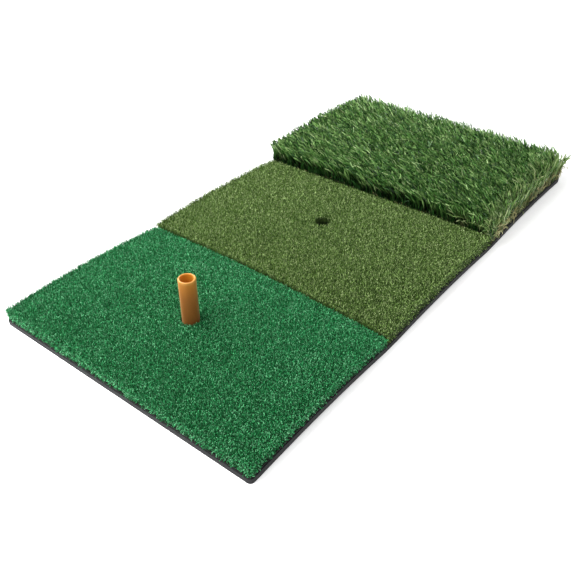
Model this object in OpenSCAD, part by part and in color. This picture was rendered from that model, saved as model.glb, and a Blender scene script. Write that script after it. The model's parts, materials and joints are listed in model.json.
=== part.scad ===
// Golf hitting mat: three arched turf panels on a rubber base with two fold creases, and a hollow rubber tee.
// Origin at the middle of the mat on the ground. +X runs along the mat to the rough end, +Z is up. Millimetres.

/* [Mat] */
// Length of the mat along X
mat_l = 610; // [560:1:700]
// Width of the mat along Y
mat_w = 305; // [220:1:420]
// Radius of the four outer corners
corner_r = 4; // [4:1:20]
// Length of the tee panel
tee_panel_l = 195; // [150:1:210]
// Length of the fairway panel
fairway_panel_l = 209; // [150:1:230]
// Height that the middle of each panel arches off the ground
arch_rise = 3; // [1:0.5:5]
// Width of the flat strip that each panel end rests on
land_w = 10; // [8:1:16]

/* [Layers] */
// Thickness of the rubber base
base_t = 5.5; // [5:0.5:12]
// Thickness of the glue film between rubber and turf
glue_t = 0.4; // [0.2:0.1:1]
// Thickness of the woven and latex-coated turf backing
backing_t = 1.4; // [1:0.1:3]
// Height of the curled pile on the tee panel
tee_pile_h = 9.5; // [5:0.5:14]
// Height of the curled pile on the fairway panel
fairway_pile_h = 11.5; // [6:0.5:15]
// Height of the curled thatch at the roots of the rough
thatch_h = 12; // [5:1:15]
// Height of the long blades of the rough above the backing
rough_pile_h = 33; // [20:1:45]
// How far the turf stands in from the edge of the rubber
turf_inset = 1; // [0.5:0.5:3]

/* [Creases] */
// Gap between two panels
slit_w = 0.6; // [0.4:0.1:1.5]
// Width of the thin rubber strip left under each gap
crease_w = 12; // [8:1:14]
// Thickness of that strip
crease_t = 1; // [0.6:0.1:1.6]

/* [Tee] */
// Height of the tee's rim above the ground
tee_top_z = 64; // [50:1:80]
// Outer diameter of the tee's tube
tee_od = 16.4; // [14:0.1:20]
// Inner diameter of the tee's tube
tee_id = 12.8; // [10:0.1:13]
// Diameter of the flange under the mat
flange_d = 44; // [30:1:60]
// Thickness of the flange
flange_t = 2.2; // [0.4:0.1:2.2]
// Distance of the tee from the mat's centre line
tee_y = 3; // [-60:1:60]

/* [Holes] */
// Diameter of both tee holes in the rubber
hole_d = 16.8; // [16.6:0.1:24]
// Extra diameter of the holes in the turf above
turf_hole_extra = 1.2; // [0.6:0.1:4]
// Place of the spare hole along the mat
spare_x = 6; // [-30:1:30]
// Distance of the spare hole from the mat's centre line
spare_y = 8; // [-60:1:60]

/* [Hidden] */

// Ends of the mat, and the two seams between its panels
x_start = -mat_l / 2;
x_seam_tee = x_start + tee_panel_l;
x_seam_rough = x_seam_tee + fairway_panel_l;
x_end = mat_l / 2;
tee_x = (x_start + x_seam_tee) / 2;

// Levels of the layers above the underside of the rubber
glue_z = base_t;
backing_z = glue_z + glue_t;
pile_z = backing_z + backing_t;
thatch_z = pile_z + thatch_h;

// Clearance between pieces that move against each other
move_gap = 0.3;
// The shells of the arch are cut from cylinders this much wider than the mat
over = 10;
// Height of the block that each panel is cut from
block_h = 100;
// The rim of the tee is a full round, and its tube starts on top of the flange
tee_rim_r = (tee_od - tee_id) / 4;
tube_z = move_gap + flange_t;
arch_facets = 720;
round_facets = 96;

base_colour = [0.13, 0.13, 0.14];
crease_colour = [0.10, 0.10, 0.11];
glue_colour = [0.16, 0.16, 0.16];
backing_colour = [0.20, 0.22, 0.20];
tee_turf_colour = [0.11, 0.45, 0.28];
fairway_turf_colour = [0.32, 0.44, 0.20];
thatch_colour = [0.58, 0.55, 0.30];
rough_colour = [0.16, 0.38, 0.13];
tee_colour = [0.80, 0.50, 0.20];

// Radius of the arch of a panel of length l, whose middle is arch_rise up and whose ends rest on the lands
function arch_r(l) = (pow(l / 2 - land_w, 2) + pow(arch_rise, 2)) / (2 * arch_rise);

// Outline of the whole mat, drawn in by inset on all sides
module mat_outline(inset) {
    l = mat_l - 2 * inset;
    w = mat_w - 2 * inset;
    r = corner_r - inset;
    square([l, w - 2 * r], center = true);
    square([l - 2 * r, w], center = true);
    for (x = [-1, 1], y = [-1, 1])
        translate([x * (l / 2 - r), y * (w / 2 - r)])
            circle(r = r, $fn = round_facets);
}

// The part of that outline from x_from to x_to
module panel_outline(x_from, x_to, inset) {
    intersection() {
        mat_outline(inset);
        translate([x_from, -mat_w / 2])
            square([x_to - x_from, mat_w]);
    }
}

// Cylinder across the mat whose top line is level z above the crest of the panel's underside
module arch_cylinder(x_from, x_to, level) {
    r = arch_r(x_to - x_from);
    translate([(x_from + x_to) / 2, mat_w / 2 + over, arch_rise - r])
        rotate([90, 0, 0])
            cylinder(h = mat_w + 2 * over, r = r + level, $fn = arch_facets);
}

// One arched layer of a panel between two levels, cut flat where it would dip below the ground
module arched_layer(x_from, x_to, low, high, inset) {
    intersection() {
        linear_extrude(height = block_h)
            panel_outline(x_from + slit_w / 2, x_to - slit_w / 2, inset);
        difference() {
            arch_cylinder(x_from, x_to, high);
            arch_cylinder(x_from, x_to, low);
        }
    }
}

// Upright hole of diameter d through every layer
module hole(x, y, d) {
    translate([x, y, -over])
        cylinder(h = block_h, d = d, $fn = round_facets);
}

// Space for a crease strip under a seam, with gap all round it
module crease_space(x_seam, gap) {
    translate([x_seam - crease_w / 2 - gap, -mat_w / 2 - over, -over])
        cube([crease_w + 2 * gap, mat_w + 2 * over, crease_t + gap + over]);
}

// Thin strip of rubber that joins two panels and bends when one of them folds down
module crease_strip(x_seam) {
    color(crease_colour)
        translate([x_seam - crease_w / 2, -mat_w / 2, 0])
            cube([crease_w, mat_w, crease_t]);
}

module layer_tee(low, high, inset) {
    arched_layer(x_start - slit_w / 2, x_seam_tee, low, high, inset);
}

module layer_fairway(low, high, inset) {
    arched_layer(x_seam_tee, x_seam_rough, low, high, inset);
}

module layer_rough(low, high, inset) {
    arched_layer(x_seam_rough, x_end + slit_w / 2, low, high, inset);
}

// Layer of turf with the hole that the tee stands in
module turf_tee(low, high) {
    difference() {
        layer_tee(low, high, turf_inset);
        hole(tee_x, tee_y, hole_d + turf_hole_extra);
    }
}

// Layer of turf with the spare hole
module turf_fairway(low, high) {
    difference() {
        layer_fairway(low, high, turf_inset);
        hole(spare_x, spare_y, hole_d + turf_hole_extra);
    }
}

module rubber_base_tee() {
    color(base_colour)
        difference() {
            layer_tee(0, base_t, 0);
            hole(tee_x, tee_y, hole_d);
            crease_space(x_seam_tee, move_gap);
        }
}

module rubber_base_fairway() {
    color(base_colour)
        difference() {
            layer_fairway(0, base_t, 0);
            hole(spare_x, spare_y, hole_d);
            crease_space(x_seam_tee, 0);
            crease_space(x_seam_rough, 0);
        }
}

module rubber_base_rough() {
    color(base_colour)
        difference() {
            layer_rough(0, base_t, 0);
            crease_space(x_seam_rough, move_gap);
        }
}

module glue_film_tee() { color(glue_colour) turf_tee(glue_z, backing_z); }
module glue_film_fairway() { color(glue_colour) turf_fairway(glue_z, backing_z); }
module glue_film_rough() { color(glue_colour) layer_rough(glue_z, backing_z, turf_inset); }

module turf_backing_tee() { color(backing_colour) turf_tee(backing_z, pile_z); }
module turf_backing_fairway() { color(backing_colour) turf_fairway(backing_z, pile_z); }
module turf_backing_rough() { color(backing_colour) layer_rough(backing_z, pile_z, turf_inset); }

module tee_turf_pile() { color(tee_turf_colour) turf_tee(pile_z, pile_z + tee_pile_h); }
module fairway_turf_pile() { color(fairway_turf_colour) turf_fairway(pile_z, pile_z + fairway_pile_h); }
module rough_thatch() { color(thatch_colour) layer_rough(pile_z, thatch_z, turf_inset); }
module rough_blades() { color(rough_colour) layer_rough(thatch_z, pile_z + rough_pile_h, turf_inset); }

// Hole through the whole length of the tee
module tee_bore() {
    translate([0, 0, -over])
        cylinder(h = block_h + over, d = tee_id, $fn = round_facets);
}

// Tube of the tee above its flange, with a round rim
module tee_tube() {
    color(tee_colour)
        translate([tee_x, tee_y, 0])
            difference() {
                union() {
                    translate([0, 0, tube_z])
                        cylinder(h = tee_top_z - tee_rim_r - tube_z, d = tee_od, $fn = round_facets);
                    rotate_extrude($fn = round_facets)
                        translate([tee_id / 2 + tee_rim_r, tee_top_z - tee_rim_r])
                            circle(r = tee_rim_r, $fn = round_facets);
                }
                tee_bore();
            }
}

// Flange of the tee, rounded at its edge, which stays under the mat
module tee_flange() {
    color(tee_colour)
        translate([tee_x, tee_y, 0])
            difference() {
                union() {
                    translate([0, 0, move_gap])
                        cylinder(h = flange_t, d = flange_d - flange_t, $fn = round_facets);
                    rotate_extrude($fn = round_facets)
                        translate([(flange_d - flange_t) / 2, move_gap + flange_t / 2])
                            circle(d = flange_t, $fn = round_facets);
                }
                tee_bore();
            }
}

rubber_base_tee();
rubber_base_fairway();
rubber_base_rough();
crease_strip(x_seam_tee);  // crease_strip_tee
crease_strip(x_seam_rough);  // crease_strip_rough
glue_film_tee();
glue_film_fairway();
glue_film_rough();
turf_backing_tee();
turf_backing_fairway();
turf_backing_rough();
tee_turf_pile();
fairway_turf_pile();
rough_thatch();
rough_blades();
tee_tube();
tee_flange();
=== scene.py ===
"""Looks of a folding golf hitting mat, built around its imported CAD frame. All lengths are in metres."""

import json
import math
from collections import namedtuple

import bmesh
import bpy
import numpy as np
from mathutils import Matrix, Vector
from mathutils.bvhtree import BVHTree


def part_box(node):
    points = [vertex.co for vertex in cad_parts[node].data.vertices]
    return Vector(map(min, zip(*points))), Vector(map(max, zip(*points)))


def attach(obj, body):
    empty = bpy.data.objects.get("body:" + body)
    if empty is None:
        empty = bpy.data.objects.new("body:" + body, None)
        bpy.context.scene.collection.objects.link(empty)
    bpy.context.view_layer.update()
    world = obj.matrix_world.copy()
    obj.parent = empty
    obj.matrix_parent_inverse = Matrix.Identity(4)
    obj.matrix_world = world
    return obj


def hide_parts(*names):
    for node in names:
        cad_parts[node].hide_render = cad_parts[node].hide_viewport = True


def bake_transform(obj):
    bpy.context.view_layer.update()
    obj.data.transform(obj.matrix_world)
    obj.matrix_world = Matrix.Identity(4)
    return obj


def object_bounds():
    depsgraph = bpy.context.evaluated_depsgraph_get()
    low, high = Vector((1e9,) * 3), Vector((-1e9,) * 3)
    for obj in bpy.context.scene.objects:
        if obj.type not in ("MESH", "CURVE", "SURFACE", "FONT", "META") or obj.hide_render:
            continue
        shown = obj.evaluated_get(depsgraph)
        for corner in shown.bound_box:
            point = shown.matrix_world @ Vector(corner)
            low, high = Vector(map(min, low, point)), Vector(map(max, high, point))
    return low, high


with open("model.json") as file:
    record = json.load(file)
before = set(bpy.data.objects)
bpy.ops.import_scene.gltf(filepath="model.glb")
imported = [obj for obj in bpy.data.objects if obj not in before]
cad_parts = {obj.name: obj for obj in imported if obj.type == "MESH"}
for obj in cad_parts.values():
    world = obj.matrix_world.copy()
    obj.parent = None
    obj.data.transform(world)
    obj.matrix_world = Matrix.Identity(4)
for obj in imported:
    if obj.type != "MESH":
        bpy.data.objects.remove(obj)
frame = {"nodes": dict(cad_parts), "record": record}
cad_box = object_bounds()

MM = 0.001
TINY = 1e-9


def new_object(name, data):
    """An object with that data, linked to the scene."""
    thing = bpy.data.objects.new(name, data)
    bpy.context.scene.collection.objects.link(thing)
    return thing


def built_object(name, build):
    """An object made from a finished bmesh, which is freed."""
    mesh = bpy.data.meshes.new(name)
    build.to_mesh(mesh)
    build.free()
    return new_object(name, mesh)


# ---------------------------------------------------------------- camera

CAMERA_AT = Vector((-0.543, -0.374, 0.4165))
CAMERA_YAW = math.radians(38.17)    # from +X towards +Y
CAMERA_PITCH = math.radians(36.18)  # downwards
CAMERA_LENS = 43.3
CAMERA_NEAR = 0.01


def add_camera():
    """The camera at the photograph's viewing angle."""
    level = math.cos(CAMERA_PITCH)
    ahead = Vector((math.cos(CAMERA_YAW) * level, math.sin(CAMERA_YAW) * level, -math.sin(CAMERA_PITCH)))
    data = bpy.data.cameras.new("camera")
    data.lens = CAMERA_LENS
    data.clip_start = CAMERA_NEAR
    camera = new_object("camera", data)
    camera.location = CAMERA_AT
    camera.rotation_euler = ahead.to_track_quat("-Z", "Y").to_euler()
    bpy.context.scene.camera = camera


add_camera()

# ---------------------------------------------------------------- materials


def linear(red, green, blue):
    """Linear colour with alpha from 0 to 255 sRGB values."""
    parts = []
    for value in (red, green, blue):
        v = value / 255
        parts.append(v / 12.92 if v <= 0.04045 else ((v + 0.055) / 1.055) ** 2.4)
    return (*parts, 1.0)


def grey(value):
    """Linear grey with alpha."""
    return (value, value, value, 1.0)


WHITE = grey(1.0)


def new_material(name, roughness, specular):
    """A material with a Principled shader, and that shader."""
    material = bpy.data.materials.new(name)
    material.use_nodes = True
    shader = material.node_tree.nodes["Principled BSDF"]
    shader.inputs["Roughness"].default_value = roughness
    shader.inputs["Specular IOR Level"].default_value = specular
    return material, shader


def add_node(material, kind, **settings):
    """A new node with those settings."""
    node = material.node_tree.nodes.new(kind)
    for key, value in settings.items():
        setattr(node, key, value)
    return node


def link(material, source, target):
    """Joins an output socket to an input socket."""
    material.node_tree.links.new(source, target)


def ramp_of(material, source, stops):
    """Colour ramp over a value socket, with (position, colour) stops."""
    ramp = add_node(material, "ShaderNodeValToRGB")
    elements = ramp.color_ramp.elements
    while len(elements) < len(stops):
        elements.new(0.5)
    for element, (position, colour) in zip(elements, stops):
        element.position = position
        element.color = colour
    link(material, source, ramp.inputs["Fac"])
    return ramp.outputs["Color"]


def noise_of(material, scale, detail, rough=0.5, stretch=(1, 1, 1)):
    """Noise in the frame's coordinates, where scale is in cycles per metre."""
    place = add_node(material, "ShaderNodeTexCoord")
    mapping = add_node(material, "ShaderNodeMapping")
    mapping.inputs["Scale"].default_value = stretch
    noise = add_node(material, "ShaderNodeTexNoise")
    noise.inputs["Scale"].default_value = scale
    noise.inputs["Detail"].default_value = detail
    noise.inputs["Roughness"].default_value = rough
    link(material, place.outputs["Object"], mapping.inputs["Vector"])
    link(material, mapping.outputs["Vector"], noise.inputs["Vector"])
    return noise.outputs["Fac"]


def multiplied(material, first, second):
    """Product of two colour sockets."""
    mix = add_node(material, "ShaderNodeMix", data_type="RGBA", blend_type="MULTIPLY")
    mix.inputs["Factor"].default_value = 1.0
    link(material, first, mix.inputs["A"])
    link(material, second, mix.inputs["B"])
    return mix.outputs["Result"]


def add_bump(material, shader, source, strength, depth):
    """Bump from a value socket, depth in metres."""
    bump = add_node(material, "ShaderNodeBump")
    bump.inputs["Strength"].default_value = strength
    bump.inputs["Distance"].default_value = depth
    link(material, source, bump.inputs["Height"])
    link(material, bump.outputs["Normal"], shader.inputs["Normal"])


# Flecks of painted shade along the strands, where they turn out of the light.
NO_SHADE_FLECKS = (1.0, 1.0)
SHADE_FLECK_EDGE = (0.38, 0.62)


def yarn_material(name, stops, root_shade, roughness, specular, rise=(0.0, 0.75), shade_flecks=NO_SHADE_FLECKS):
    """Turf yarn: every strand has its own tone. root_shade and rise paint shade: each strand is darkened
    towards its root, where the strands shade one another, and rise holds the shares of its height where this
    painted shade is darkest and where the strand is in full colour. shade_flecks is the size and the darkness
    of flecks of painted shade along the strands, where they turn out of the light."""
    material, shader = new_material(name, roughness, specular)
    tone = add_node(material, "ShaderNodeAttribute", attribute_name="tone")
    tip = add_node(material, "ShaderNodeAttribute", attribute_name="tip")
    colour = ramp_of(material, tone.outputs["Fac"], stops)
    # painted shade, darkest at the roots of the strands
    shade = ramp_of(material, tip.outputs["Fac"], [(rise[0], grey(root_shade)), (rise[1], WHITE)])
    colour = multiplied(material, colour, shade)
    size, fleck_shade = shade_flecks
    # painted shade in flecks along the strands
    if fleck_shade < 1:
        noise = noise_of(material, 1 / size, detail=1)
        painted_flecks = ramp_of(material, noise, [(SHADE_FLECK_EDGE[0], grey(fleck_shade)), (SHADE_FLECK_EDGE[1], WHITE)])
        colour = multiplied(material, colour, painted_flecks)
    link(material, colour, shader.inputs["Base Color"])
    return material


def bed_material(name, dark, light, grain):
    """Dense yarn seen between the strands, mottled at about one strand's size. Its colours are darker than
    the strands': painted shade deep in the pile.
    """
    material, shader = new_material(name, roughness=0.9, specular=0.2)
    fine = noise_of(material, 1 / grain, detail=3)
    link(material, ramp_of(material, fine, [(0.35, dark), (0.7, light)]), shader.inputs["Base Color"])
    add_bump(material, shader, fine, strength=0.8, depth=0.6 * MM)
    return material


def rubber_material(name, dark, light, roughness):
    """Foamed rubber: charcoal with fine pores and a faint dusty mottling."""
    material, shader = new_material(name, roughness, specular=0.35)
    mottle = noise_of(material, 60, detail=5, rough=0.65)
    link(material, ramp_of(material, mottle, [(0.3, dark), (0.75, light)]), shader.inputs["Base Color"])
    pores = noise_of(material, 1600, detail=3, rough=0.7)
    add_bump(material, shader, pores, strength=0.35, depth=0.25 * MM)
    return material


def woven_material(name, dark, light, thread):
    """Coarse plain weave of flat threads under a latex coat."""
    material, shader = new_material(name, roughness=0.85, specular=0.2)
    place = add_node(material, "ShaderNodeTexCoord")
    waves = []
    for direction in ("X", "Y"):
        wave = add_node(material, "ShaderNodeTexWave", bands_direction=direction)
        wave.inputs["Scale"].default_value = 0.3 / thread
        wave.inputs["Distortion"].default_value = 0.4
        link(material, place.outputs["Object"], wave.inputs["Vector"])
        waves.append(wave.outputs["Color"])
    weave = multiplied(material, *waves)
    link(material, ramp_of(material, weave, [(0.1, dark), (0.9, light)]), shader.inputs["Base Color"])
    add_bump(material, shader, weave, strength=0.5, depth=0.3 * MM)
    return material


def glue_material(name, dark, light):
    """Black hot-melt film, slightly glossy and uneven."""
    material, shader = new_material(name, roughness=0.45, specular=0.5)
    mottle = noise_of(material, 250, detail=3)
    link(material, ramp_of(material, mottle, [(0.3, dark), (0.8, light)]), shader.inputs["Base Color"])
    add_bump(material, shader, mottle, strength=0.3, depth=0.2 * MM)
    return material


# Outer colour of the tee by height: darker towards the bottom, with a painted highlight at the top rim, where
# light falls from above.
TEE_STOPS = [
    (0.2, linear(112, 66, 24)),
    (0.7, linear(136, 84, 32)),
    (0.94, linear(164, 104, 34)),
    (1.0, linear(186, 134, 62)),
]
# Painted glow: the bore is brighter, standing in for light that comes through the amber wall.
TEE_BORE_GLOW = linear(192, 124, 34)
TEE_WALL = (7.3 * MM, 6.5 * MM)  # radii where the outer colour ends and where the bore's colour is full
TEE_VEIL = (0.88, 0.86, 0.84, 1)
TEE_SHEEN = linear(255, 216, 160)


def inside_of(material, low, high):
    """1 in the bore of an upright tube that fills the box from low to high, 0 on its outside."""
    place = add_node(material, "ShaderNodeTexCoord")
    offset = add_node(material, "ShaderNodeVectorMath", operation="SUBTRACT")
    offset.inputs[1].default_value = (low + high) / 2
    flat = add_node(material, "ShaderNodeVectorMath", operation="MULTIPLY")
    flat.inputs[1].default_value = (1, 1, 0)
    radius = add_node(material, "ShaderNodeVectorMath", operation="LENGTH")
    share = add_node(material, "ShaderNodeMapRange")
    share.inputs["From Min"].default_value = TEE_WALL[0]
    share.inputs["From Max"].default_value = TEE_WALL[1]
    link(material, place.outputs["Object"], offset.inputs[0])
    link(material, offset.outputs["Vector"], flat.inputs[0])
    link(material, flat.outputs["Vector"], radius.inputs[0])
    link(material, radius.outputs["Value"], share.inputs["Value"])
    return share.outputs["Result"]


def height_of(material, low, high):
    """0 at the lowest and 1 at the highest point of the box from low to high."""
    place = add_node(material, "ShaderNodeTexCoord")
    split = add_node(material, "ShaderNodeSeparateXYZ")
    share = add_node(material, "ShaderNodeMapRange")
    share.inputs["From Min"].default_value = low.z
    share.inputs["From Max"].default_value = high.z
    link(material, place.outputs["Object"], split.inputs["Vector"])
    link(material, split.outputs["Z"], share.inputs["Value"])
    return share.outputs["Result"]


def tee_material():
    """Amber rubber that lets some light through, faintly mottled. Its outside is darker towards the bottom
    and has a painted highlight at the top rim, and its bore is painted brighter, a glow that stands in for
    light coming through the wall.
    """
    material, shader = new_material("amber_rubber", roughness=0.45, specular=0.28)
    low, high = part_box("tee_tube")
    outside = ramp_of(material, height_of(material, low, high), TEE_STOPS)
    colour = add_node(material, "ShaderNodeMix", data_type="RGBA")
    link(material, inside_of(material, low, high), colour.inputs["Factor"])
    link(material, outside, colour.inputs["A"])
    colour.inputs["B"].default_value = TEE_BORE_GLOW
    mottle = noise_of(material, 180, detail=4, stretch=(1, 1, 0.35))
    veil = ramp_of(material, mottle, [(0.3, TEE_VEIL), (0.7, WHITE)])
    link(material, multiplied(material, colour.outputs["Result"], veil), shader.inputs["Base Color"])
    add_bump(material, shader, mottle, strength=0.15, depth=0.3 * MM)
    values = {
        "Coat Weight": 0.15,
        "Coat Roughness": 0.35,
        "Sheen Weight": 0.35,
        "Sheen Roughness": 0.35,
        "Sheen Tint": TEE_SHEEN,
        "Subsurface Weight": 0.12,
        "Subsurface Radius": (1.0, 0.45, 0.15),
        "Subsurface Scale": 2.5 * MM,
    }
    for socket, value in values.items():
        shader.inputs[socket].default_value = value
    return material


def paint(thing, material):
    """Gives an object one material in place of what it has."""
    thing.data.materials.clear()
    thing.data.materials.append(material)


# ---------------------------------------------------------------- ground and random fields

CORNER = 3 * MM        # radius of the mat's corners
RIM_START = 0.1 * MM   # least depth of a rim's roots
JITTER = 0.4           # of a grid's pitch
TONE_STEP = np.array([0.7549, 0.5698])  # per cell, which spreads the tones of neighbouring cells evenly
TONE_NOISE = 0.25


class Ground:
    """The upper face of a CAD node, which strands stand on."""

    def __init__(self, node):
        self.low, self.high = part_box(node)
        graph = bpy.context.evaluated_depsgraph_get()
        self.tree = BVHTree.FromObject(frame["nodes"][node], graph)

    def height(self, x, y):
        """Height under (x, y), or None off the node or over a hole in it."""
        at = self.tree.ray_cast(Vector((x, y, self.high.z + 10 * MM)), Vector((0, 0, -1)))[0]
        return None if at is None else at.z

    def stand(self, flat):
        """The (x, y) points that are over the face, as an array of (x, y, z)."""
        found = [(x, y, self.height(x, y)) for x, y in flat]
        return np.array([p for p in found if p[2] is not None])

    def scatter(self, pitch, jitter, rng):
        """Points on a jittered grid over the face."""
        nx = round((self.high.x - self.low.x) / pitch)
        ny = round((self.high.y - self.low.y) / pitch)
        xs = self.low.x + (np.arange(nx) + 0.5) * (self.high.x - self.low.x) / nx
        ys = self.low.y + (np.arange(ny) + 0.5) * (self.high.y - self.low.y) / ny
        flat = np.stack(np.meshgrid(xs, ys, indexing="ij"), -1).reshape(-1, 2)
        flat += rng.uniform(-jitter, jitter, flat.shape) * pitch
        return self.stand(flat)

    def rim_side(self, axis, sign, pitch, depth, rng):
        """Points along one straight outer side, and the way out of it."""
        other = 1 - axis
        count = round((self.high[other] - self.low[other]) / pitch)
        flat = np.zeros((count, 2))
        flat[:, other] = rng.uniform(self.low[other], self.high[other], count)
        edge = self.high[axis] if sign > 0 else self.low[axis]
        flat[:, axis] = edge - sign * rng.uniform(RIM_START, depth, count)
        way = np.zeros((count, 2))
        way[:, axis] = sign
        return flat, way

    def rim_corner(self, sign, across, pitch, depth, rng):
        """Points round one outer corner, and the way out at each."""
        count = round(math.pi / 2 * CORNER / pitch)
        turn = rng.uniform(0, math.pi / 2, count)
        way = np.stack([sign * np.cos(turn), across * np.sin(turn)], -1)
        middle_x = self.high.x - CORNER if sign > 0 else self.low.x + CORNER
        middle_y = self.high.y - CORNER if across > 0 else self.low.y + CORNER
        flat = (middle_x, middle_y) + way * (CORNER - rng.uniform(RIM_START, depth, (count, 1)))
        return flat, way

    def rim(self, sides, pitch, depth, rng):
        """Points along outer sides, at most depth in from them, and the way out of each. A side is
        (axis, sign), and the corners at each end of the mat are rounded."""
        parts = [self.rim_side(axis, sign, pitch, depth, rng) for axis, sign in sides]
        for sign in (sign for axis, sign in sides if axis == 0):
            parts += [self.rim_corner(sign, across, pitch, depth, rng) for across in (-1, 1)]
        flat, way = (np.concatenate(arrays) for arrays in zip(*parts))
        heights = [self.height(x, y) for x, y in flat]
        on = np.array([z is not None for z in heights])
        stood = np.column_stack([flat[on], [z for z in heights if z is not None]])
        return stood, way[on]


def patches(points, size, rng):
    """Smooth random values from 0 to 1 over the plane, in patches of about that size."""
    cell = points[:, :2] / size
    base = np.floor(cell).astype(int)
    low = base.min(0)
    table = rng.random(tuple(base.max(0) - low + 2))
    part = cell - base
    part = part * part * (3 - 2 * part)
    i, j = (base - low).T
    near = table[i, j] * (1 - part[:, 0]) + table[i + 1, j] * part[:, 0]
    far = table[i, j + 1] * (1 - part[:, 0]) + table[i + 1, j + 1] * part[:, 0]
    return near * (1 - part[:, 1]) + far * part[:, 1]


def mixed_tone(root, pitch, rng):
    """A tone from 0 to 1 for each root of a grid, unlike its neighbours' tones, so that no blotches form."""
    cell = np.floor(root[:, :2] / pitch)
    return (cell @ TONE_STEP + rng.uniform(0, TONE_NOISE, len(root))) % 1.0


def close_to(values, edge, reach):
    """1 at the edge, falling smoothly to 0 at reach from it."""
    part = np.clip(np.abs(values - edge) / reach, 0, 1)
    return 1 - part * part * (3 - 2 * part)


def close_to_sides(root, ground, reach):
    """1 at the sides of a panel, falling smoothly to 0 at reach in from them."""
    x, y = root[:, 0], root[:, 1]
    sides = [(x, ground.low.x), (x, ground.high.x), (y, ground.low.y), (y, ground.high.y)]
    return np.maximum.reduce([close_to(values, side, reach) for values, side in sides])


def in_strips(y, ground, count):
    """Which of count equal strips along the mat each y is in."""
    edges = np.linspace(ground.low.y, ground.high.y, count + 1)
    return np.digitize(y, edges[1:-1])


SEAM_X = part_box("rubber_base_tee")[1].x
SEAM_BOW = 2.8 * MM    # of the edge of the first seam's turfs, towards the fairway panel
SEAM_BOW_SHARE = 0.75  # of the mat's width, from the far edge, over which it bows
SEAM_TURN = 6.5 * MM   # of the same edge at the near side, towards the tee end
SEAM_TURN_POWER = 5
SEAM_REACH = 30 * MM   # from the seam, where the strands are straight again


def seam_wander(x, y):
    """Shift along the mat near the first seam, where the two turfs are not cut quite straight."""
    low, high = cad_box
    share = np.clip((high.y - y) / (high.y - low.y), 0, 1)
    bow = SEAM_BOW * np.sin(math.pi * np.minimum(share / SEAM_BOW_SHARE, 1))
    return (bow - SEAM_TURN * share ** SEAM_TURN_POWER) * close_to(x, SEAM_X, SEAM_REACH)


# ---------------------------------------------------------------- strands

WIDTH_SPREAD = (0.75, 1.25)    # of the strands, times their mean width
CURL_SPREAD = (0.6, 1.4)       # of the curls' radius, times its mean
CURL_ROOT = 0.35               # radius at the root, as a share of the radius at the tip
CURL_NOISE = 0.12              # of each point, as a share of the radius
CURL_EASE = 1.6                # how early a curl does most of its rising
CURL_TAPER = ([0, 0.5, 1], [1.0, 1.0, 0.55])
BLADE_KINK = (0.34, 5, 11)     # sideways wave in radians, and the range of its turns along a blade
BLADE_WAVE = (0.18, 6, 12)     # the same up and down
BLADE_START = 0.1              # tilt of a blade's root in radians
BLADE_BEND = (1.6, 1.3)        # tilt at the tip per unit of lean, and how late it comes
BLADE_TWIST = (0.7, 1.5)       # spread of the twist at the root, and of what is added up to the tip
BLADE_TAPER = ([0, 0.3, 0.8, 1], [0.8, 1.0, 0.95, 0.4])


def unit(vectors):
    """The vectors with length 1."""
    return vectors / np.maximum(np.linalg.norm(vectors, axis=-1, keepdims=True), TINY)


def keep_out(centre, hole, radius):
    """Pushes the points that are closer than radius to a hole's middle out to that distance."""
    offset = centre[..., :2] - np.array(hole)
    distance = np.maximum(np.linalg.norm(offset, axis=-1), TINY)
    centre[..., :2] = np.array(hole) + offset * np.maximum(radius / distance, 1)[..., None]


def hold_within(centre, axis, low, high, give):
    """Presses what stands out past low or high back softly, so that it stays within give of them."""
    values = centre[..., axis]
    over = np.maximum(values - high, 0)
    under = np.maximum(low - values, 0)
    values += give * np.tanh(over / give) - over
    values -= give * np.tanh(under / give) - under


def hold_over(ground, centre, give_x, give_y, out_x=(0, 0), out_y=(0, 0)):
    """Presses strands back softly over a panel: they stay within give_x and give_y of its sides, which are
    first moved out by out_x and out_y at their low and high ends."""
    hold_within(centre, 0, ground.low.x - out_x[0], ground.high.x + out_x[1], give_x)
    hold_within(centre, 1, ground.low.y - out_y[0], ground.high.y + out_y[1], give_y)


def ribbons(name, centre, half, tone, tip):
    """One mesh of flat ribbons. centre and half are (ribbon, point, xyz): the middle line and half the width.
    tone and tip are values for each ribbon and point, or broadcast to that."""
    count, points, _ = centre.shape
    corners = np.stack([centre - half, centre + half], axis=2).reshape(-1, 3)
    first = np.arange(count)[:, None] * 2 * points + np.arange(points - 1)[None, :] * 2
    faces = np.stack([first, first + 1, first + 3, first + 2], axis=-1).reshape(-1, 4)
    mesh = bpy.data.meshes.new(name)
    mesh.vertices.add(len(corners))
    mesh.vertices.foreach_set("co", corners.astype(np.float32).ravel())
    mesh.loops.add(faces.size)
    mesh.loops.foreach_set("vertex_index", faces.astype(np.int32).ravel())
    mesh.polygons.add(len(faces))
    mesh.polygons.foreach_set("loop_start", np.arange(0, faces.size, 4, dtype=np.int32))
    mesh.update(calc_edges=True)
    mesh.shade_smooth()
    for label, values in (("tone", tone), ("tip", tip)):
        values = np.broadcast_to(values, (count, points))
        attribute = mesh.attributes.new(label, "FLOAT", "POINT")
        attribute.data.foreach_set("value", np.repeat(values.ravel(), 2).astype(np.float32))
    return new_object(name, mesh)


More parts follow.
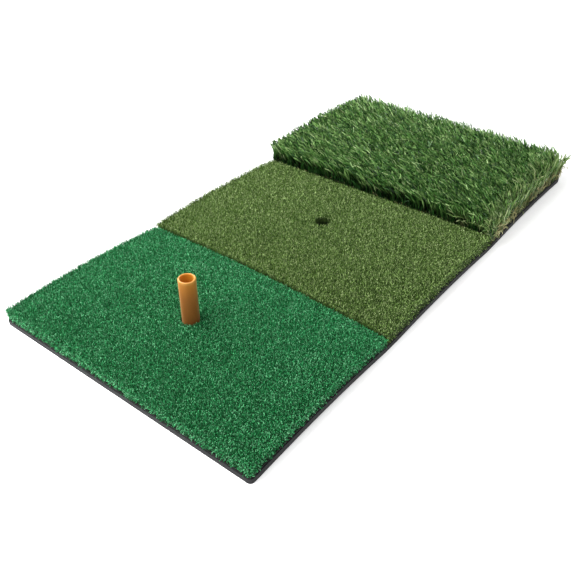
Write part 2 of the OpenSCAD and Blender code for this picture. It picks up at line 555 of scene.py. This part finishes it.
def curls(root, rise, lean, radius, turns, width, points, rng):
    """Middle lines and half widths of curled strands, and the share of its length at each point. Each strand
    winds round an axis that goes up by rise and out by lean."""
    count = len(root)
    along = np.linspace(0, 1, points)[None, :]
    start = rng.uniform(0, 2 * math.pi, (count, 1))
    spin = rng.choice([-1, 1], (count, 1)) * rng.uniform(*turns, (count, 1)) * 2 * math.pi
    angle = start + spin * along
    reach = radius * rng.uniform(*CURL_SPREAD, (count, 1)) * (CURL_ROOT + (1 - CURL_ROOT) * along)
    x = root[:, None, 0] + reach * (np.cos(angle) - np.cos(start)) + lean[:, :1] * along
    y = root[:, None, 1] + reach * (np.sin(angle) - np.sin(start)) + lean[:, 1:] * along
    z = root[:, None, 2] + rise[:, None] * (1 - (1 - along) ** CURL_EASE)
    centre = np.stack([x, y, z], -1)
    centre[:, 1:] += rng.normal(0, CURL_NOISE * radius, centre[:, 1:].shape)
    tangent = unit(np.gradient(centre, axis=1))
    side = unit(np.cross(tangent, unit(rng.normal(0, 1, (count, 1, 3)))))
    taper = np.interp(along, *CURL_TAPER)[..., None]
    half = side * taper * width / 2 * rng.uniform(*WIDTH_SPREAD, (count, 1, 1))
    return centre, half, along


def wave_along(wave, along, count, rng):
    """A sine wave of its own along each strand, from (height, least turns, most turns) in radians."""
    height, least, most = wave
    start = rng.uniform(0, 2 * math.pi, (count, 1))
    return height * np.sin(start + rng.uniform(least, most, (count, 1)) * along)


def blades(root, length, lean, width, points, rng):
    """Middle lines and half widths of long flat blades, which start nearly upright and bend towards lean."""
    count = len(root)
    along = np.linspace(0, 1, points)[None, :]
    strength = np.linalg.norm(lean, axis=1)[:, None]
    heading = np.arctan2(lean[:, 1], lean[:, 0])[:, None] + wave_along(BLADE_KINK, along, count, rng)
    wave = wave_along(BLADE_WAVE, along, count, rng)
    bend, lateness = BLADE_BEND
    tilt = BLADE_START + bend * strength * along**lateness + wave * along
    level = np.sin(tilt)
    direction = np.stack([level * np.cos(heading), level * np.sin(heading), np.cos(tilt)], -1)
    step = length[:, None, None] / (points - 1)
    centre = np.concatenate([np.zeros((count, 1, 3)), np.cumsum(direction[:, :-1] * step, axis=1)], axis=1)
    centre += root[:, None, :]
    across = np.stack([-np.sin(heading), np.cos(heading), np.zeros_like(heading)], -1)
    facing = np.cross(direction, across)
    at_root, added = BLADE_TWIST
    twist = rng.normal(0, at_root, (count, 1)) + rng.normal(0, added, (count, 1)) * along
    side = np.cos(twist)[..., None] * across + np.sin(twist)[..., None] * facing
    taper = np.interp(along, *BLADE_TAPER)[..., None]
    half = side * taper * width / 2 * rng.uniform(*WIDTH_SPREAD, (count, 1, 1))
    return centre, half


# ---------------------------------------------------------------- packed beds


FLARE_REACH = 7 * MM  # in from the far edge, where the curled turf bulges


def bed(name, ground, level, bump, pitch, insets, rng, flare=0.0):
    """Closed bumpy block of packed yarn from the ground face up to about level above it, holes left open.
    insets are how far it stays in from the face's low x, high x and y edges. flare is how far its top stands
    out at the far edge."""
    low, high = ground.low, ground.high
    xs = np.linspace(low.x + insets[0], high.x - insets[1], round((high.x - low.x) / pitch))
    ys = np.linspace(low.y + insets[2], high.y - insets[2], round((high.y - low.y) / pitch))
    build = bmesh.new()
    top, bottom = {}, {}
    for i, x in enumerate(xs):
        for j, y in enumerate(ys):
            z = ground.height(x, y)
            if z is None:
                continue
            out = flare * close_to(y, high.y, FLARE_REACH)
            shifted = x + seam_wander(x, y)
            top[i, j] = build.verts.new((shifted, y + out, z + level + rng.normal(0, bump)))
            bottom[i, j] = build.verts.new((shifted, y, z))
    for i in range(len(xs) - 1):
        for j in range(len(ys) - 1):
            ring = [(i, j), (i + 1, j), (i + 1, j + 1), (i, j + 1)]
            if all(key in top for key in ring):
                build.faces.new([top[key] for key in ring])
                build.faces.new([bottom[key] for key in reversed(ring)])
    close_rims(build, {top[key]: bottom[key] for key in top})
    thing = built_object(name, build)
    thing.data.shade_smooth()
    return thing


def close_rims(build, twin):
    """Walls between the rims of an upper and a lower sheet. twin gives each upper vertex its lower one."""
    rims = [e for e in build.edges if e.is_boundary and e.verts[0] in twin and e.verts[1] in twin]
    for edge in rims:
        loop = edge.link_loops[0]
        a, b = loop.vert, loop.link_loop_next.vert
        build.faces.new([b, a, twin[a], twin[b]])
    loose = [v for v in build.verts if not v.link_faces]
    bmesh.ops.delete(build, geom=loose, context="VERTS")
    bmesh.ops.recalc_face_normals(build, faces=build.faces)


def finish_piece(thing, material, body, slot_name, *nodes):
    """Material, body and the CAD nodes that a piece stands for. slot_name is not used."""
    paint(thing, material)
    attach(thing, body)
    if nodes:
        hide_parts(*nodes)


# ---------------------------------------------------------------- curled turf

CURL_PITCH = 0.84 * MM
CURL_START = 0.62        # root of the coat's curls, as a share of the pile
CURL_STRIPS = 4
CURL = (0.5 * MM, (0.7, 1.5), 0.55 * MM, 5)  # radius, turns, width and points
COAT_RISE = (0.7, 1.06)  # of the coat, times what is left of the pile above its roots
COAT_LEAN = 0.5 * MM
COAT_PATCH = (0.03, 25 * MM)  # share of the tone that comes in patches, and their size
BED_LEVEL = 0.76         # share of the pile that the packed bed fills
BED_BUMP = 0.3 * MM
BED_PITCH = 2.0 * MM
BED_INSET = 0.9 * MM
SEAM_INSET = 0.8 * MM    # further in at a seam
FREE_SHARE = 0.35        # of a gap at a seam, which no curl enters
FLARE_RISE = 0.25        # of the curls of the bulging far edge, beyond the others
FLARE_LEAN = 0.4         # of the same curls, as a share of the bulge
FRINGE_PITCH = 0.2 * MM
FRINGE_DEPTH = 1.2 * MM
FRINGE_ROOTS = (0.02, 0.85)     # as shares of the pile
FRINGE_RISE = (-2.2, 1.8)       # in millimetres
FRINGE_LEAN = (0.5, 2.0)        # in millimetres
SEAM_PITCH = 0.25 * MM
SEAM_ROOTS = (0.25, 0.85)       # as shares of the pile
SEAM_RISE = (-1.2, 1.8)         # in millimetres
SEAM_LEAN = (-0.4, 0.9)         # in millimetres
SIDE_SPREAD = 0.4               # of the lean of fringe and seam curls, in millimetres
HOLE_FUZZ = 3.2 * MM            # how far single curls reach into a hole


def mount_place(name):
    """Place of a mount in the record, as (x, y)."""
    found = [m for m in frame["record"]["mounts"] if m["name"] == name]
    return found[0]["pos_m"][:2]


def tee_place():
    """Middle of the tee, as (x, y)."""
    low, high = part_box("tee_tube")
    return (low.x + high.x) / 2, (low.y + high.y) / 2


# gaps are the widths left free at the low and high x ends, 0 at an outer end of the mat. flare is how far the
# pile bulges out at the far edge. skirt is the share of its height by which the fringe hangs down. dark and
# light are the bed's colours, darker than the strands' with painted shade deep in the pile, and stops the
# strands' colours.
Turf = namedtuple("Turf", "panel seed gaps flare skirt hole hole_r dark light stops")

TEE_TURF = Turf(
    panel="tee",
    seed=11,
    gaps=(0, 1.2 * MM),
    flare=2.0 * MM,
    skirt=0,
    hole=tee_place(),
    hole_r=9.2 * MM,
    dark=linear(2, 42, 18),
    light=linear(10, 76, 34),
    stops=[
        (0.0, linear(12, 92, 44)),
        (0.4, linear(36, 152, 84)),
        (0.7, linear(82, 198, 124)),
        (1.0, linear(148, 232, 174)),
    ],
)
FAIRWAY_TURF = Turf(
    panel="fairway",
    seed=23,
    gaps=(0.4 * MM, 1.6 * MM),
    flare=3.4 * MM,
    skirt=0.14,
    hole=mount_place("spare_tee_hole"),
    hole_r=9.0 * MM,
    dark=linear(26, 40, 12),
    light=linear(56, 78, 28),
    stops=[
        (0.0, linear(52, 76, 24)),
        (0.4, linear(100, 136, 57)),
        (0.7, linear(148, 184, 100)),
        (1.0, linear(204, 228, 156)),
    ],
)


def turf_bed(turf, ground, pile, rng):
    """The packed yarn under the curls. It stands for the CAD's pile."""
    insets = (*(max(gap + SEAM_INSET, BED_INSET) for gap in turf.gaps), BED_INSET)
    level = BED_LEVEL * pile
    name = f"{turf.panel}_turf_bed"
    base = bed(name, ground, level, BED_BUMP, BED_PITCH, insets, rng, turf.flare)
    material = bed_material(f"{turf.panel}_bed_yarn", turf.dark, turf.light, grain=1.0 * MM)
    names = (f"{turf.panel}_panel", f"{turf.panel}_turf_yarn", f"{turf.panel}_turf_pile")
    finish_piece(base, material, *names)


def turf_coat(turf, ground, pile, rng):
    """Curls that stand all over the bed, and their tones."""
    low, high = ground.low, ground.high
    root = ground.scatter(CURL_PITCH, JITTER, rng)
    root = root[(root[:, 0] > low.x + turf.gaps[0]) & (root[:, 0] < high.x - turf.gaps[1])]
    root[:, 2] += CURL_START * pile
    rise = (1 - CURL_START) * pile * rng.uniform(*COAT_RISE, len(root))
    lean = rng.normal(0, COAT_LEAN, (len(root), 2))
    far = close_to(root[:, 1], high.y, FLARE_REACH)
    rise *= 1 + FLARE_RISE * far
    root[:, 1] += turf.flare * far
    lean[:, 1] += FLARE_LEAN * turf.flare * far
    coat = curls(root, rise, lean, *CURL, rng)
    share, size = COAT_PATCH
    tone = (1 - share) * mixed_tone(root, CURL_PITCH, rng) + share * patches(root, size, rng)
    return coat, tone


def turf_fringe(turf, ground, pile, ends, rng):
    """Curls that stick out of the pile's outer faces: both long sides, and those ends that are the mat's."""
    root, way = ground.rim([(1, -1), (1, 1), *ends], FRINGE_PITCH, FRINGE_DEPTH, rng)
    root[:, 2] += rng.uniform(FRINGE_ROOTS[0] - turf.skirt, FRINGE_ROOTS[1], len(root)) * pile
    rise = rng.uniform(*FRINGE_RISE, len(root)) * MM
    lean = way * rng.uniform(*FRINGE_LEAN, (len(root), 1)) * MM
    lean += rng.normal(0, SIDE_SPREAD * MM, (len(root), 2))
    root[:, 1] += turf.flare * (way[:, 1] > 0.5)
    return curls(root, rise, lean, *CURL, rng)


def seam_face(ground, pile, x, sign, rng):
    """Curls that cover the upright face of a pile beside a seam at x, where sign is the way out of it."""
    count = round((ground.high.y - ground.low.y) / SEAM_PITCH)
    flat = np.column_stack([np.full(count, x), rng.uniform(ground.low.y, ground.high.y, count)])
    root = ground.stand(flat)
    root[:, 2] += rng.uniform(*SEAM_ROOTS, len(root)) * pile
    rise = rng.uniform(*SEAM_RISE, len(root)) * MM
    out = sign * rng.uniform(*SEAM_LEAN, len(root))
    lean = np.column_stack([out, rng.normal(0, SIDE_SPREAD, len(root))]) * MM
    return curls(root, rise, lean, *CURL, rng)


def turf_strands(turf, ground, pile, rng):
    """Middle lines, half widths, tones and tips of all the curls of a panel, coat first."""
    coat, coat_tone = turf_coat(turf, ground, pile, rng)
    sides = [(ground.low.x + turf.gaps[0], turf.gaps[0], -1), (ground.high.x - turf.gaps[1], turf.gaps[1], 1)]
    ends = [(0, sign) for x, gap, sign in sides if gap == 0]
    fringe = turf_fringe(turf, ground, pile, ends, rng)
    seams = [seam_face(ground, pile, x, sign, rng) for x, gap, sign in sides if gap > 0]
    parts = [coat, fringe, *seams]
    # The fringe curls' tones are brighter than the coat's: painted light on the outer edges, which catch the
    # light.
    tones = [coat_tone, 0.15 + 0.85 * rng.random(len(fringe[0]))]
    # The curls on the seam faces get only dark tones: painted shade in the seams.
    tones += [0.4 * rng.random(len(part[0])) for part in seams]
    # Fringe and seam curls start halfway up the ramp of painted root shade, so their roots are darkened less.
    tips = [coat[2], *(0.5 + 0.5 * part[2] for part in parts[1:])]
    centre = np.concatenate([part[0] for part in parts])
    half = np.concatenate([part[1] for part in parts])
    tip = np.concatenate([np.broadcast_to(share, part[0].shape[:2]) for share, part in zip(tips, parts)])
    return centre, half, np.concatenate(tones), tip


def curled_turf(turf):
    """A panel of short curled turf: a packed bed, a coat of curls, and a fringe over its outer edges."""
    rng = np.random.default_rng(turf.seed)
    ground = Ground(f"turf_backing_{turf.panel}")
    low, high = ground.low, ground.high
    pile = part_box(f"{turf.panel}_turf_pile")[1].z - high.z
    turf_bed(turf, ground, pile, rng)
    centre, half, tone, tip = turf_strands(turf, ground, pile, rng)
    if turf.gaps[0]:
        centre[..., 0] = np.maximum(centre[..., 0], low.x + FREE_SHARE * turf.gaps[0])
    if turf.gaps[1]:
        centre[..., 0] = np.minimum(centre[..., 0], high.x - FREE_SHARE * turf.gaps[1])
    centre[..., 0] += seam_wander(centre[..., 0], centre[..., 1])
    keep_out(centre, turf.hole, turf.hole_r - HOLE_FUZZ * rng.random((len(centre), 1)) ** 3)
    # root_shade and the flecks are painted shade among the curls
    look = dict(root_shade=0.14, roughness=0.6, specular=0.2, shade_flecks=(0.8 * MM, 0.28))
    yarn = yarn_material(f"{turf.panel}_turf_yarn", turf.stops, **look)
    strip = in_strips(centre[:, 0, 1], ground, CURL_STRIPS)
    for k in range(CURL_STRIPS):
        at = strip == k
        piece = ribbons(f"{turf.panel}_turf_curls_{k + 1}", centre[at], half[at], tone[at, None], tip[at])
        finish_piece(piece, yarn, f"{turf.panel}_panel", f"{turf.panel}_turf_yarn")


# ---------------------------------------------------------------- rough

ROUGH_SEED = 37
ROUGH_PILE = 33 * MM
THATCH_PITCH = 2.0 * MM
THATCH_CURL = (2.3 * MM, (0.8, 1.9), 0.75 * MM, 10)  # radius, turns, width and points
TUFT_PITCH = 2.8 * MM
TUFT_BLADES = 6
TUFT_SIZE = 0.75 * MM
TUFT_LEAN = 0.09          # spread of the lean from tuft to tuft
BLADE_LEAN = 0.21         # spread of the lean within a tuft
BLADE_WIDTH = 1.45 * MM
BLADE_POINTS = 7
BLADE_STRIPS = 4
LOW_BLADES = (27, 36)     # lengths in millimetres of the one half of the blades
TOP_BLADES = (36, 39.5)   # and of the other
EDGE_DEPTH = (2, 8)       # in millimetres: how far in the paler near edge goes
FRINGE_LENGTH = (9, 27)   # in millimetres
BULGE = 4 * MM            # of the far edge
BULGE_REACH = 10 * MM

# Mean lean of the tips, as (x, y), and what each part of the panel adds to it.
ROUGH_LEAN = {
    "everywhere": (-0.21, 0.27),
    "seam": (-0.24, 0.0),
    "far side": (0.08, -0.2),
    "end": (0.27, 0.0),
    "seam corner": (-0.3, -0.13),
}

ROUGH_STOPS = [
    (0.0, linear(9, 34, 12)),
    (0.3, linear(41, 87, 32)),
    (0.6, linear(95, 144, 68)),
    (0.88, linear(151, 188, 113)),
    (1.0, linear(190, 209, 152)),
]
EDGE_STOPS = [
    (0.0, linear(54, 80, 34)),
    (0.45, linear(92, 126, 62)),
    (0.8, linear(134, 158, 96)),
    (1.0, linear(178, 188, 138)),
]
THATCH_STOPS = [
    (0.0, linear(46, 56, 28)),
    (0.4, linear(106, 110, 64)),
    (0.75, linear(156, 150, 98)),
    (1.0, linear(204, 196, 148)),
]
PALE_GLOSS = dict(roughness=0.42, specular=0.4)
STRAY_STOPS = [
    (0.3, linear(104, 124, 70)),
    (0.6, linear(152, 152, 98)),
    (1.0, linear(208, 204, 154)),
]


def millimetres(span, count, rng):
    """Random lengths from a range in millimetres."""
    return rng.uniform(*span, count) * MM


def pile_share(centre, root):
    """Height of each point above its root, as a share of the pile."""
    return (centre[..., 2] - root[:, None, 2]) / ROUGH_PILE


def rough_lean(root, ground):
    """Mean lean of the pile: towards the fairway panel and the far side. It leans further out over the seam,
    most of all at the seam's near corner, and stands more upright along the far side and the end."""
    x, y = root[:, 0], root[:, 1]
    seam = close_to(x, ground.low.x, 14 * MM)
    back = close_to(y, ground.high.y, 16 * MM)
    shares = {
        "everywhere": np.ones(len(root)),
        "seam": seam * (1 - back),
        "far side": back,
        "end": close_to(x, ground.high.x, 30 * MM),
        "seam corner": seam * close_to(y, ground.low.y, 30 * MM),
    }
    return sum(shares[part][:, None] * np.array(lean) for part, lean in ROUGH_LEAN.items())


def bulge(centre, root, ground):
    """Pushes the outer rows of the far edge out above their roots, so that the pile bulges over it."""
    rows = close_to(root[:, 1], ground.high.y, BULGE_REACH)[:, None]
    above = centre[..., 2] - root[:, 2:3]
    centre[..., 1] += BULGE * rows * (1 - np.exp(-above / BULGE))


def rough_bed(ground, rng):
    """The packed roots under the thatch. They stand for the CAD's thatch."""
    insets = (3 * MM, 2.5 * MM, 2.5 * MM)
    base = bed("rough_turf_bed", ground, 10 * MM, bump=1.2 * MM, pitch=3.0 * MM, insets=insets, rng=rng)
    material = bed_material("rough_bed_yarn", linear(24, 30, 15), linear(58, 62, 32), grain=1.5 * MM)
    finish_piece(base, material, "rough_panel", "thatch_yarn", "rough_thatch")


def rough_thatch(ground, rng):
    """Curled straw yarn between the roots, dense along the edges where it shows, highest at the near edge."""
    root = ground.scatter(THATCH_PITCH, 0.5, rng)
    edge = close_to_sides(root, ground, 8 * MM)
    root = root[rng.random(len(root)) < 0.2 + 0.8 * edge]
    front = close_to(root[:, 1], ground.low.y, 9 * MM)
    seam = close_to(root[:, 0], ground.low.x, 9 * MM)
    rise = millimetres((6, 12), len(root), rng) * (1 - 0.35 * seam)
    rise += 14 * MM * np.maximum(front, 0.55 * seam) * rng.random(len(root))
    lean = rng.normal(0, 2.4 * MM, (len(root), 2))
    lean[:, 1] -= 3.5 * MM * front
    centre, half, along = curls(root, rise, lean, *THATCH_CURL, rng)
    bulge(centre, root, ground)
    hold_over(ground, centre, give_x=1.5 * MM, give_y=5 * MM, out_x=(-1 * MM, 0))
    # Thatch near the seam, away from the near edge, is darker: painted shade under the blades that hang over
    # it.
    tone = rng.random(len(root)) * (1 - 0.45 * seam * (1 - front))
    thatch = ribbons("rough_thatch_curls", centre, half, tone[:, None], along)
    material = yarn_material("thatch_yarn", THATCH_STOPS, root_shade=0.5, roughness=0.6, specular=0.3)
    finish_piece(thatch, material, "rough_panel", "thatch_yarn")


def blade_lengths(root, lean, ground, rng):
    """Lengths of the blades of the pile. What leans more is longer, as is what is near the far end corner."""
    count = len(root)
    low = rng.random(count) < 0.5
    length = np.where(low, rng.uniform(*LOW_BLADES, count), rng.uniform(*TOP_BLADES, count)) * MM
    length *= 0.8 + 0.45 * np.linalg.norm(lean, axis=1)
    share_x = (root[:, 0] - ground.low.x) / (ground.high.x - ground.low.x)
    share_y = (root[:, 1] - ground.low.y) / (ground.high.y - ground.low.y)
    return length * (0.98 + 0.09 * share_x * share_y)


def rough_blades(ground, rng):
    """Tufts of long blades, in strips along the mat, with paler and thinner ones along the near edge."""
    tuft = ground.scatter(TUFT_PITCH, JITTER, rng)
    tuft = tuft[tuft[:, 0] > ground.low.x + 2.0 * MM]
    lean = rough_lean(tuft, ground) + rng.normal(0, TUFT_LEAN, (len(tuft), 2))
    shade = rng.random(len(tuft))
    root = np.repeat(tuft, TUFT_BLADES, axis=0)
    root[:, :2] += rng.normal(0, TUFT_SIZE, (len(root), 2))
    lean = np.repeat(lean, TUFT_BLADES, axis=0) + rng.normal(0, BLADE_LEAN, (len(root), 2))
    length = blade_lengths(root, lean, ground, rng)
    edge = root[:, 1] < ground.low.y + millimetres(EDGE_DEPTH, len(root), rng)
    lean[edge] += rng.normal(0, 0.16, (edge.sum(), 2)) - (0, 0.14)
    centre, half = blades(root, length, lean, BLADE_WIDTH, BLADE_POINTS, rng)
    half[edge] *= 0.8
    bulge(centre, root, ground)
    # height drives the painted root shade of the blades; it is lifted along the sides, where light reaches
    # further down the outer rows.
    height = pile_share(centre, root) + 0.2 * close_to_sides(root, ground, 5 * MM)[:, None]
    hold_over(ground, centre, give_x=8 * MM, give_y=7 * MM)
    tone = 0.92 * rng.random(len(root)) + 0.05 * np.repeat(shade, TUFT_BLADES)
    tone += 0.03 * patches(root, 30 * MM, rng)
    # root_shade and rise paint deep shade on the lower half of each blade, where the blades shade one
    # another.
    look = dict(root_shade=0.04, roughness=0.33, specular=0.4, rise=(0.55, 0.93), shade_flecks=(1.5 * MM, 0.6))
    yarn = yarn_material("rough_blade_yarn", ROUGH_STOPS, **look)
    pale = yarn_material("rough_edge_yarn", EDGE_STOPS, root_shade=0.4, rise=(0.1, 0.7), **PALE_GLOSS)
    strip = in_strips(root[:, 1], ground, BLADE_STRIPS)
    groups = [(f"rough_blades_{k + 1}", ~edge & (strip == k), yarn) for k in range(BLADE_STRIPS)]
    groups.append(("rough_blades_edge", edge, pale))
    for name, at, material in groups:
        coat = ribbons(name, centre[at], half[at], tone[at, None], height[at])
        finish_piece(coat, material, "rough_panel", "rough_blade_yarn", "rough_blades")


def rough_fringe(ground, rng):
    """Short blades that fill the upright faces of the pile at the seam, the far side and the end."""
    root, way = ground.rim([(1, 1), (0, -1), (0, 1)], pitch=0.4 * MM, depth=2.2 * MM, rng=rng)
    root[:, 0] = np.maximum(root[:, 0], ground.low.x + 1.2 * MM)
    lean = 0.06 * way + rng.normal(0, 0.2, (len(root), 2))
    length = millimetres(FRINGE_LENGTH, len(root), rng)
    centre, half = blades(root, length, lean, 0.8 * BLADE_WIDTH, BLADE_POINTS, rng)
    bulge(centre, root, ground)
    hold_over(ground, centre, give_x=5 * MM, give_y=6 * MM)
    # Kept to the lower tones, and halved on the seam side: painted shade under the overhang at the seam.
    tone = rng.uniform(0, 0.7, len(root)) * np.where(way[:, 0] < 0, 0.5, 1)
    fringe = ribbons("rough_fringe_blades", centre, half, tone[:, None], pile_share(centre, root))
    look = dict(root_shade=0.22, roughness=0.4, specular=0.4, rise=(0.05, 0.6))
    yarn = yarn_material("fringe_yarn", ROUGH_STOPS, **look)
    finish_piece(fringe, yarn, "rough_panel", "rough_blade_yarn")


def rough_corner(ground, rng):
    """A splayed tuft of pale blades at the outer near corner."""
    count = 16
    corner = np.array([ground.high.x - 3 * MM, ground.low.y + 3 * MM])
    root = ground.stand(corner + rng.normal(0, 1.3 * MM, (count, 2)))
    lean = np.array([0.42, -0.34]) + rng.normal(0, 0.13, (len(root), 2))
    length = millimetres((22, 35), len(root), rng)
    centre, half = blades(root, length, lean, BLADE_WIDTH, points=10, rng=rng)
    hold_over(ground, centre, give_x=12 * MM, give_y=9 * MM, out_x=(0, 4 * MM), out_y=(4 * MM, 0))
    tone = rng.uniform(0.3, 1, (len(root), 1))
    tuft = ribbons("rough_corner_tuft", centre, half, tone, pile_share(centre, root))
    pale = yarn_material("corner_yarn", EDGE_STOPS, root_shade=0.5, rise=(0.0, 0.5), **PALE_GLOSS)
    finish_piece(tuft, pale, "rough_panel", "rough_blade_yarn")


def rough_flopped(ground, rng):
    """Thin blades at the near end of the seam. Most lie over the fairway panel's pile, and a few along the
    near edge."""
    count = 110
    x = ground.low.x + millimetres((0.5, 5), count, rng)
    y = ground.low.y + 0.5 * MM + 42 * MM * rng.random(count) ** 2.8
    root = ground.stand(np.stack([x, y], -1))
    root[:, 2] += millimetres((2, 8), len(root), rng)
    lean = np.array([-0.5, 0.5]) + rng.normal(0, 0.28, (len(root), 2))
    along_edge = rng.random(len(root)) < 0.08
    lean[along_edge] = np.array([0.85, -0.2]) + rng.normal(0, 0.1, (along_edge.sum(), 2))
    length = millimetres((17, 29), len(root), rng)
    centre, half = blades(root, length, lean, width=1.0 * MM, points=12, rng=rng)
    hold_over(ground, centre, give_x=8 * MM, give_y=7 * MM, out_x=(3 * MM, 0))
    tone = rng.uniform(0.2, 1, (len(root), 1))
    flopped = ribbons("rough_flopped_blades", centre, half, tone, pile_share(centre, root))
    yarn = yarn_material("flopped_yarn", EDGE_STOPS, root_shade=0.4, rise=(0.1, 0.45), **PALE_GLOSS)
    finish_piece(flopped, yarn, "rough_panel", "rough_blade_yarn")


def rough_strays(ground, rng):
    """Loose strands that loop out over the near edge, most of them beside the seam and at the end corner."""
    count = 44
    low, high = ground.low, ground.high
    spread = rng.random(count) ** 1.8
    by_seam = rng.random(count) < 0.75
    x = np.where(by_seam, low.x + 0.5 * MM + spread * 70 * MM, high.x - spread * 40 * MM)
    root = ground.stand(np.stack([x, low.y + millimetres((0.3, 4), count, rng)], -1))
    root[:, 2] += millimetres((0, 6), len(root), rng)
    heading = rng.normal(-math.pi / 2, 0.8, len(root))
    strength = rng.uniform(1.0, 2.2, (len(root), 1))
    lean = strength * np.stack([np.cos(heading), np.sin(heading)], -1)
    length = millimetres((11, 26), len(root), rng)
    centre, half = blades(root, length, lean, width=0.85 * MM, points=18, rng=rng)
    hold_over(ground, centre, give_x=7 * MM, give_y=9 * MM)
    centre[..., 2] = np.maximum(centre[..., 2], 1 * MM)
    strays = ribbons("rough_stray_strands", centre, half, rng.uniform(0.3, 1, (len(root), 1)), 1.0)
    material = yarn_material("stray_yarn", STRAY_STOPS, root_shade=0.7, roughness=0.5, specular=0.4)
    finish_piece(strays, material, "rough_panel", "thatch_yarn")


def rough_turf(seed):
    """The long turf: a dark bed, a layer of curled thatch, and tufts of blades."""
    rng = np.random.default_rng(seed)
    ground = Ground("turf_backing_rough")
    rough_bed(ground, rng)
    rough_thatch(ground, rng)
    rough_blades(ground, rng)
    rough_fringe(ground, rng)
    rough_corner(ground, rng)
    rough_flopped(ground, rng)
    rough_strays(ground, rng)


# ---------------------------------------------------------------- rubber and tee

CREASE_CUTS = 23
THREAD = 1.6 * MM


def crease_strip(node, material):
    """The thin strip under a seam, cut finely enough to bend. along is the direction of the child in x."""
    low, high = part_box(node)
    middle = (low + high) / 2
    build = bmesh.new()
    bmesh.ops.create_cube(build, size=1.0)
    bmesh.ops.scale(build, vec=high - low, verts=build.verts)
    bmesh.ops.translate(build, vec=middle, verts=build.verts)
    lengthwise = [e for e in build.edges if abs((e.verts[1].co - e.verts[0].co).x) > TINY]
    bmesh.ops.subdivide_edges(build, edges=lengthwise, cuts=CREASE_CUTS, use_grid_fill=True)
    thing = built_object(node + "_bending", build)
    paint(thing, material)
    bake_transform(thing)
    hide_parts(node)


def rubber_and_tee():
    """Materials of the CAD pieces that keep their shape, and the two strips that bend."""
    base = rubber_material("base_rubber", linear(15, 15, 17), linear(31, 31, 33), 0.75)
    crease = rubber_material("crease_rubber", linear(16, 16, 17), linear(30, 30, 32), 0.65)
    backing = woven_material("latex_backing", linear(14, 16, 14), linear(34, 38, 32), THREAD)
    glue = glue_material("black_glue", linear(12, 12, 12), linear(28, 27, 26))
    for panel in ("tee", "fairway", "rough"):
        paint(frame["nodes"]["rubber_base_" + panel], base)
        paint(frame["nodes"]["glue_film_" + panel], glue)
        paint(frame["nodes"]["turf_backing_" + panel], backing)
    amber = tee_material()
    for node in ("tee_tube", "tee_flange"):
        paint(frame["nodes"][node], amber)
    crease_strip("crease_strip_tee", crease)
    crease_strip("crease_strip_rough", crease)


# ---------------------------------------------------------------- studio

FLOOR_HALF = 6.0
FLOOR_COLOUR = linear(248, 248, 248)
FLOOR_GLOW = 0.3
SKY_STRENGTH = 0.75

# name, azimuth from +X towards +Y and elevation in degrees, distance from the mat's middle, size, watts
LAMPS = [
    ("key", 147, 47, 1.15, 0.85, 18),
    ("rim", 105, 32, 0.8, 0.5, 10),
    ("fill", 232, 40, 2.4, 1.8, 10),
]


def add_floor():
    """A large pale floor, level with the underside of the mat."""
    build = bmesh.new()
    bmesh.ops.create_grid(build, x_segments=1, y_segments=1, size=FLOOR_HALF)
    floor = built_object("floor", build)
    material, shader = new_material("pale_floor", roughness=0.9, specular=0.1)
    shader.inputs["Base Color"].default_value = FLOOR_COLOUR
    shader.inputs["Emission Color"].default_value = WHITE
    shader.inputs["Emission Strength"].default_value = FLOOR_GLOW
    paint(floor, material)


def add_lamp(name, azimuth, elevation, distance, size, power):
    """A square lamp that looks at the mat's middle."""
    data = bpy.data.lights.new(name, "AREA")
    data.size = size
    data.energy = power
    lamp = new_object(name, data)
    a, e = math.radians(azimuth), math.radians(elevation)
    lamp.location = Vector((math.cos(a) * math.cos(e), math.sin(a) * math.cos(e), math.sin(e))) * distance
    lamp.rotation_euler = (-lamp.location).to_track_quat("-Z", "Y").to_euler()


def add_studio():
    """Floor, lamps and an even white sky."""
    add_floor()
    for lamp in LAMPS:
        add_lamp(*lamp)
    world = bpy.data.worlds.new("studio")
    world.use_nodes = True
    sky = world.node_tree.nodes["Background"]
    sky.inputs["Color"].default_value = WHITE
    sky.inputs["Strength"].default_value = SKY_STRENGTH
    bpy.context.scene.world = world
    bpy.context.scene.view_settings.view_transform = "Standard"


curled_turf(TEE_TURF)
curled_turf(FAIRWAY_TURF)
rough_turf(ROUGH_SEED)
rubber_and_tee()
add_studio()
